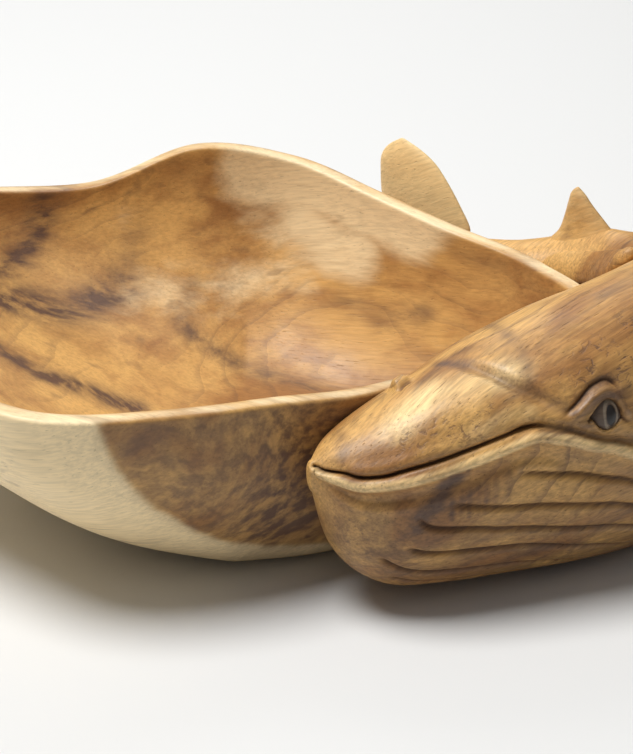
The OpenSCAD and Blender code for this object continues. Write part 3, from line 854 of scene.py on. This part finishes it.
class WHALEBOWL_OT_whale(bpy.types.Operator):
    """Carve the whale's head, trunk and tail stock, with its mouth, lips, lids and pleats"""
    bl_idname = "whale_bowl.whale"
    bl_label = "Whale"

    def execute(self, context):
        depth = context.scene.whale_bowl_sizes.cut_depth
        bm, share, turn = blank(*CORNERS["whale"])
        t, scale, bulge, a = self.grid(share, turn)
        base = skin(t, a)
        centre = whale_at(t)[:, [0, 1, 4]]
        forward = np.concatenate([heading(t), np.zeros((len(t), 1))], 1)
        points = centre + (base - centre) * scale[:, None] + forward * bulge[:, None]
        points[:, 2] = np.maximum(points[:, 2], 0)
        place_corners(bm, points)
        normals = np.array([v.normal for v in bm.verts])
        head = np.where((t < HEAD_END) & (points[:, 2] > TABLE_BAND))[0]
        near = points[head]
        move = np.zeros(len(head))
        # Painted shade: how much each cut is darkened
        crevice = np.zeros(len(head))
        for line, height, half_width, ends, shade_in_cut in CARVING:
            profile = cut_profile(near, skin_line(line), half_width, ends)
            move += height * profile
            crevice = np.maximum(crevice, shade_in_cut * profile)
        opening = self.eye_opening(near)
        move -= EYE_HOLLOW * opening
        points[head] += normals[head] * (move * depth)[:, None]
        line, height, half_width, ends, _ = BACK_RIDGE
        points[:, 2] += height * cut_profile(points, skin_line(line), half_width, ends)
        points[:, 2] = np.maximum(points[:, 2], 0)
        place_corners(bm, self.clear_of_bowl(points))
        marks = {
            "sap": self.on_skin(points, WHALE_SAP),
            "stain": self.on_skin(points, WHALE_STAIN_AND_SHADE),
            "burl": self.on_skin(points, WHALE_BURL),
            "crevice": np.zeros(len(points)),
        }
        marks["crevice"][head] = np.clip(crevice, 0, 1)
        wood = wood_material("whale wood", turn=(8, 18, -38), centre=(-0.10, 0.14, -0.10), rings=0.55,
                             sapwood=context.scene.whale_bowl_colours.lip_wood)
        finish_piece(bm, "carved_whale", "whale_body", wood, marks)
        return {"FINISHED"}

    @staticmethod
    def grid(share, turn):
        """Station and angle of each corner, closer together on the head's outer side."""
        stations = np.linspace(0, WHALE_LAST, 1201)
        speed = np.linalg.norm(np.gradient(whale_at(stations)[:, :2], stations, axis=0), axis=1)
        inner = np.clip((share - SNOUT_CAP) / (1 - 2 * SNOUT_CAP), 0, 1)
        t = spread(inner, speed * np.interp(stations, *RING_FINENESS)) * WHALE_LAST
        angles = np.linspace(-180, 180, 1441)
        a = spread(turn / 360, np.interp(angles, *SIDE_FINENESS)) * 360 - 180
        start, end = share / SNOUT_CAP, (1 - share) / SNOUT_CAP
        cap = 90 * np.clip(np.minimum(start, end), 0, 1)
        bulge = np.where(start < 1, -SNOUT_BULGE, np.where(end < 1, SNOUT_BULGE, 0)) * cosd(cap)
        return t, sind(cap), bulge, a

    @staticmethod
    def eye_opening(points):
        """1 between the eye's lids, 0 on the skin round them."""
        ring = skin_line(EYE_OPENING + EYE_OPENING[:1], 4)
        middle = ring.mean(0)
        normal = skin_normal(STATION_EYE, EYE_ANGLE)
        side = along_skin(STATION_EYE, EYE_ANGLE)
        up = np.cross(normal, side)
        flat = np.stack([(points - middle) @ side, (points - middle) @ up], -1)
        edge = np.stack([(ring - middle) @ side, (ring - middle) @ up], -1)
        bearing = np.arctan2(edge[:, 1], edge[:, 0])
        order = np.argsort(bearing)
        reach = np.interp(np.arctan2(flat[:, 1], flat[:, 0]), bearing[order],
                          np.linalg.norm(edge, axis=1)[order], period=2 * math.pi)
        near = np.linalg.norm(points - middle, axis=1) < EYE_REACH
        return near * smooth_step((reach - np.linalg.norm(flat, axis=1)) / LID_EDGE + 0.5)

    @staticmethod
    def clear_of_bowl(points):
        """What was laid on the bowl's wall stays off it after the carving."""
        below = points[:, 2] < rim_z(drawn_place(points)[0])
        return np.where(below[:, None], scribed(points), points)

    @staticmethod
    def on_skin(points, strokes):
        laid = [(skin_line(line, 4), radius, strength) for line, radius, strength in strokes]
        return painted(points, laid)


# Shares of the dorsal fin's height that round off its tip and its root
DORSAL_ROUND = (0.16, 0.08)
# Its root's flare: share of the height, and what it adds to the length and the thickness
DORSAL_FLARE = (0.55, 0.08, 0.7)
# The fluke's stock: share of the half span, and what it adds in front and to the thickness
FLUKE_STOCK = (0.35, 0.12, 0.25)
FLUKE_ROUND = 0.22               # share of the half span that rounds off each tip
FLIPPER_ROUND = 0.10             # share of the length that rounds off each end
FLIPPER_LIFT = 0.3               # how far a flipper's edge lies off the skin


def lens_point(front, back, drawn_in, thick, turn):
    """Lens-shaped section between two edges: along the heading, and across it."""
    along = (front + back) / 2 + (back - front) / 2 * drawn_in * cosd(turn)
    return along, thick / 2 * sind(turn)


def in_place(station, z, along, across, up):
    """Points along, across and above a place on the whale's middle line."""
    s, h = whale_at(station), heading(np.asarray(station, float))
    x = s[0] + h[0] * along + h[1] * across
    y = s[1] + h[1] * along - h[0] * across
    return np.stack([x, y, z + up], -1)


class WHALEBOWL_OT_dorsal_fin(bpy.types.Operator):
    """Carve the small dorsal fin that stands in the back"""
    bl_idname = "whale_bowl.dorsal_fin"
    bl_label = "Dorsal fin"

    def execute(self, context):
        bm, share, turn = blank(*CORNERS["dorsal_fin"])
        tall = np.clip(1 - share, 0, 1)
        front, back = outline_at(DORSAL, tall)
        size = round_end(share, DORSAL_ROUND[0]) * round_end(1 - share, DORSAL_ROUND[1])
        reach, longer, thicker = DORSAL_FLARE
        root = np.clip(1 - tall / reach, 0, 1) ** 2
        thick = DORSAL_THICK * (1 - DORSAL_TAPER * tall) * size * (1 + thicker * root)
        along, across = lens_point(front, back, size * (1 + longer * root), thick, turn)
        up = tall * (DORSAL_HEIGHT + DORSAL_ROOT_DEPTH) - DORSAL_ROOT_DEPTH
        top = whale_at(STATION_DORSAL)[3]
        place_corners(bm, in_place(STATION_DORSAL, top, along * DORSAL_LENGTH, across, up))
        finish_piece(bm, "carved_dorsal_fin", "dorsal_fin", fin_wood(),
                     {"sap": 0.30 + 0.25 * tall})
        return {"FINISHED"}


class WHALEBOWL_OT_tail_fluke(bpy.types.Operator):
    """Carve the two-lobed fluke that stands across the tail's end"""
    bl_idname = "whale_bowl.tail_fluke"
    bl_label = "Tail fluke"

    def execute(self, context):
        bm, share, turn = blank(*CORNERS["tail_fluke"])
        place = cosd(180 * share)
        out = np.abs(place)
        front, back = outline_at(FLUKE, out)
        tip = round_end(1 - out, FLUKE_ROUND)
        reach, forward, thicker = FLUKE_STOCK
        stock = 1 - smooth_step(out / reach)
        thick = FLUKE_THICK * (1 - FLUKE_TAPER * out) * tip * (1 + thicker * stock)
        along, across = lens_point(front - forward * stock, back, tip, thick, turn)
        middle, up = whale_at(WHALE_LAST)[4], place * FLUKE_SPAN / 2
        place_corners(bm, in_place(WHALE_LAST, middle, along * FLUKE_LENGTH, across, up))
        finish_piece(bm, "carved_tail_fluke", "tail_fluke", fin_wood(),
                     {"sap": 0.66 + 0.10 * place})
        return {"FINISHED"}


class WHALEBOWL_OT_flippers(bpy.types.Operator):
    """Carve the two flippers that lie along the trunk"""
    bl_idname = "whale_bowl.flippers"
    bl_label = "Flippers"

    def execute(self, context):
        for name, path in FLIPPERS.items():
            bm, share, turn = blank(*CORNERS["flipper"])
            f = between(path, share * (len(path) - 1))
            end = round_end(np.minimum(share, 1 - share), FLIPPER_ROUND)
            width, thick = FLIPPER_WIDTH * f[:, 2] * end, FLIPPER_THICK * f[:, 3] * end
            t, a = f[:, 0], f[:, 1]
            normal = skin_normal(t, a)
            middle = skin(t, a) + normal * (FLIPPER_THICK * f[:, 3] / 2 + FLIPPER_LIFT)[:, None]
            points = (middle + round_skin(t, a) * (width / 2 * cosd(turn))[:, None]
                      + normal * (thick / 2 * sind(turn))[:, None])
            place_corners(bm, points)
            marks = {"burl": np.full(len(share), 0.35), "sap": np.full(len(share), 0.2)}
            finish_piece(bm, "carved_" + name, name, wood_material("whale wood"), marks)
        return {"FINISHED"}


EYE_TOP = 0.8                    # height of the eye's ball over the skin
EYE_BALL_DEPTH = 7.0             # half depth of the ball
PUPIL_SHIFT = 0.8                # the pupil sits a little towards the trunk
PUPIL_PROUD = 0.35               # how far the pupil stands out of the ball
EYE_RING, RING_WIDTH = 1.35, 0.24    # the paler ring round the pupil, in halves of the pupil


class WHALEBOWL_OT_eye(bpy.types.Operator):
    """Turn the domed eye and its upright pupil"""
    bl_idname = "whale_bowl.eye"
    bl_label = "Eye and pupil"

    def execute(self, context):
        sizes, colours = context.scene.whale_bowl_sizes, context.scene.whale_bowl_colours
        radius = sizes.eye_width / MM / 2
        across, tall = sizes.pupil_width / MM / 2, sizes.pupil_height / MM / 2
        bm, share, turn = blank(*CORNERS["eye"])
        x, y = radius * sind(180 * share) * cosd(turn), radius * sind(180 * share) * sind(turn)
        place_corners(bm, self.on_eye(x, y, EYE_TOP - EYE_BALL_DEPTH * (1 - cosd(180 * share))))
        oval = np.hypot((x - PUPIL_SHIFT) / across, y / tall)
        ring = np.exp(-((oval - EYE_RING) / RING_WIDTH) ** 2) * (share < 0.5)
        wood = wood_material("eye wood", rings=0.0, coat=0.15, bump=0.15, heartwood=colours.eye_ball,
                             late_wood=colours.streak, sapwood=colours.eye_ring)
        finish_piece(bm, "domed_eye", "eye", wood, {"sap": ring})
        bm, share, turn = blank(*CORNERS["pupil"])
        x = PUPIL_SHIFT + across * sind(180 * share) * cosd(turn)
        y = tall * sind(180 * share) * sind(turn)
        dome = np.sqrt(np.clip(1 - (x / radius) ** 2 - (y / radius) ** 2, 0, 1))
        ball = EYE_TOP - EYE_BALL_DEPTH * (1 - dome)
        place_corners(bm, self.on_eye(x, y, ball + PUPIL_PROUD * cosd(180 * share)))
        black = wood_material("pupil wood", rings=0.0, coat=0.25, bump=0.1, heartwood=colours.pupil,
                              late_wood=colours.pupil, sapwood=colours.pupil, streak=colours.pupil)
        finish_piece(bm, "upright_pupil", "pupil", black)
        return {"FINISHED"}

    @staticmethod
    def on_eye(x, y, z):
        """Points across, up and out of the middle of the eye."""
        point, out = skin(STATION_EYE, EYE_ANGLE), skin_normal(STATION_EYE, EYE_ANGLE)
        side = along_skin(STATION_EYE, EYE_ANGLE)
        up = np.cross(side, out)
        up = up if up[2] > 0 else -up
        return point + x[:, None] * side + y[:, None] * up + z[:, None] * out


class WHALEBOWL_OT_dowels(bpy.types.Operator):
    """Finish the dowels that hold the whale and its fins"""
    bl_idname = "whale_bowl.dowels"
    bl_label = "Dowels"

    def execute(self, context):
        colours = context.scene.whale_bowl_colours
        wood = wood_material("dowel wood", rings=0.1, coat=0.0, heartwood=colours.dowel,
                             late_wood=colours.heartwood)
        for name in ("body_dowels", "dorsal_dowel", "fluke_dowel", "flipper_dowels"):
            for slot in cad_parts[name].material_slots:
                slot.material = wood
        return {"FINISHED"}


# ---------------- stage

FLOOR_REACH, FLOOR_SQUARES = 4.0, 16
WALL_LIGHT, CEILING_LIGHT = 0.11, 0.27
CAMERA_PLACE = (0.040, -1.0094, 0.5337)
CAMERA_TILT = 65
CAMERA_LENS = 103.6
# Round soft lights: place, what they shine on, width, power
LIGHTS = {
    "key softbox": ((-0.95, -0.22, 2.56), (0, 0.05, 0.05), 1.3, 86),
    "backdrop light": ((0.1, 1.9, 1.6), (0.1, 1.6, 0), 1.6, 15),
}


def soft_light(name, place, target, width, power):
    data = bpy.data.lights.new(name, "AREA")
    data.shape = "DISK"
    data.size = width
    data.energy = power
    light = bpy.data.objects.new(name, data)
    light.location = place
    light.rotation_euler = (Vector(target) - Vector(place)).to_track_quat("-Z", "Y").to_euler()
    bpy.context.scene.collection.objects.link(light)


class WHALEBOWL_OT_stage(bpy.types.Operator):
    """Lay the pale floor, hang the soft lights and set the camera"""
    bl_idname = "whale_bowl.stage"
    bl_label = "Stage"

    def execute(self, context):
        scene = context.scene
        self.lay_floor(scene)
        for name, row in LIGHTS.items():
            soft_light(name, *row)
        scene.world = self.pale_room()
        scene.view_settings.view_transform = "Standard"
        data = bpy.data.cameras.new("camera")
        data.lens = CAMERA_LENS
        camera = bpy.data.objects.new("camera", data)
        camera.location = CAMERA_PLACE
        camera.rotation_euler = (math.radians(CAMERA_TILT), 0, 0)
        scene.collection.objects.link(camera)
        scene.camera = camera
        return {"FINISHED"}

    @staticmethod
    def pale_room():
        """A white ceiling that fades to grey walls."""
        world = bpy.data.worlds.new("pale room")
        world.use_nodes = True
        tree = world.node_tree
        sky = tree.nodes["Background"]
        way = add_node(tree, "ShaderNodeSeparateXYZ", {
            0: tree.nodes.new("ShaderNodeTexCoord").outputs["Generated"]}).outputs["Z"]
        shade = ramp_range(tree, way, 0.20, 0.90, WALL_LIGHT, CEILING_LIGHT)
        sky.inputs["Color"].default_value = (1, 1, 1, 1)
        tree.links.new(shade, sky.inputs["Strength"])
        return world

    @staticmethod
    def lay_floor(scene):
        bm = bmesh.new()
        bmesh.ops.create_grid(bm, x_segments=FLOOR_SQUARES, y_segments=FLOOR_SQUARES, size=FLOOR_REACH)
        mesh = bpy.data.meshes.new("paper_floor")
        bm.to_mesh(mesh)
        bm.free()
        floor = bpy.data.objects.new("paper_floor", mesh)
        scene.collection.objects.link(floor)
        paper = bpy.data.materials.new("pale paper")
        paper.use_nodes = True
        tree = paper.node_tree
        shader = tree.nodes["Principled BSDF"]
        place = tree.nodes.new("ShaderNodeTexCoord").outputs["Object"]
        tooth = noise_at(tree, place, 900.0, detail=4.0)
        relief = add_node(tree, "ShaderNodeBump", {"Strength": 0.05, "Distance": 0.0002, "Height": tooth})
        tree.links.new(relief.outputs[0], shader.inputs["Normal"])
        shader.inputs["Base Color"].default_value = (*scene.whale_bowl_colours.floor, 1)
        shader.inputs["Roughness"].default_value = 0.7
        mesh.materials.append(paper)


class WHALEBOWL_PT_panel(bpy.types.Panel):
    bl_label = "Whale Bowl"
    bl_idname = "WHALEBOWL_PT_panel"
    bl_space_type = "VIEW_3D"
    bl_region_type = "UI"
    bl_category = "Whale Bowl"

    def draw(self, context):
        for group in (context.scene.whale_bowl_sizes, context.scene.whale_bowl_colours):
            for name in group.bl_rna.properties.keys():
                if name not in ("rna_type", "name"):
                    self.layout.prop(group, name)
        for operator in OPERATORS:
            self.layout.operator(operator.bl_idname)


OPERATORS = (
    WHALEBOWL_OT_bowl, WHALEBOWL_OT_whale, WHALEBOWL_OT_dorsal_fin, WHALEBOWL_OT_tail_fluke,
    WHALEBOWL_OT_flippers, WHALEBOWL_OT_eye, WHALEBOWL_OT_dowels, WHALEBOWL_OT_stage,
)
CLASSES = (WhaleBowlSizes, WhaleBowlColours, *OPERATORS, WHALEBOWL_PT_panel)


def register():
    for cls in CLASSES:
        bpy.utils.register_class(cls)
    bpy.types.Scene.whale_bowl_sizes = PointerProperty(type=WhaleBowlSizes)
    bpy.types.Scene.whale_bowl_colours = PointerProperty(type=WhaleBowlColours)


def unregister():
    del bpy.types.Scene.whale_bowl_colours
    del bpy.types.Scene.whale_bowl_sizes
    for cls in reversed(CLASSES):
        bpy.utils.unregister_class(cls)


def main():
    register()
    bpy.ops.whale_bowl.bowl()
    bpy.ops.whale_bowl.whale()
    bpy.ops.whale_bowl.dorsal_fin()
    bpy.ops.whale_bowl.tail_fluke()
    bpy.ops.whale_bowl.flippers()
    bpy.ops.whale_bowl.eye()
    bpy.ops.whale_bowl.dowels()
    bpy.ops.whale_bowl.stage()


if __name__ == "__main__":
    main()
